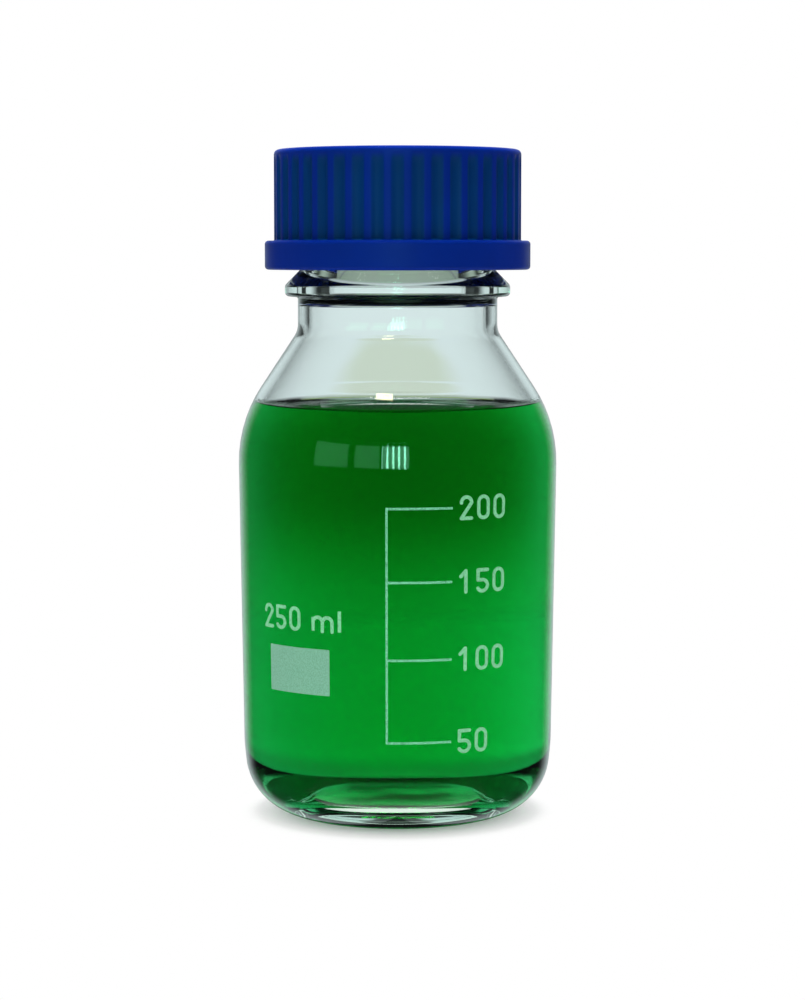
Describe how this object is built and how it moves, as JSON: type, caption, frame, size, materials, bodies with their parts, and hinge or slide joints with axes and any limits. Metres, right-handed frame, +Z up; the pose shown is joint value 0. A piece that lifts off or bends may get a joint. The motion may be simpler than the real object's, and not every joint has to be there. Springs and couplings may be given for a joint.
{
  "type": "reagent bottle",
  "caption": "Clear glass laboratory bottle with rounded shoulder, printed volume scale, ribbed blue screw cap and pouring ring, filled with a green solution.",
  "frame": {"origin": "centre of the contact ring, on the surface the bottle stands on", "axes": "+Z up along the bottle's axis towards the cap; the printed scale faces -Y"},
  "size_m": [0.0697, 0.0698, 0.1455],
  "materials": {
    "clear_glass": "clear, fire-polished borosilicate glass",
    "ring_plastic": "moulded polypropylene, satin",
    "green_liquid": "clear green solution",
    "cap_plastic": "moulded polypropylene, satin",
    "liner_plastic": "soft white sealing sheet",
    "white_enamel": "fired white enamel"
  },
  "bodies": {
    "bottle": {"glass_bottle": "clear_glass", "pouring_ring": "ring_plastic", "green_solution": "green_liquid", "graduation_scale": "white_enamel", "graduation_numerals": "white_enamel", "capacity_print": "white_enamel", "marking_panel": "white_enamel"},
    "liner": {"cap_liner": "liner_plastic"},
    "cap": {"screw_cap": "cap_plastic"}
  },
  "joints": [
    {"name": "cap_lift", "type": "slide", "parent": "bottle", "child": "liner", "axis": [0, 0, 1], "range_m": [0, 0.0241]},
    {"name": "cap_turn", "type": "hinge", "parent": "liner", "child": "cap", "pos_m": [0, 0, 0.1195], "axis": [0, 0, 1], "range_deg": [0, 2160]}
  ],
  "couplings": [
    {"joint": "cap_lift", "follows": "cap_turn", "m_per_rad": 0.00063662}
  ]
}
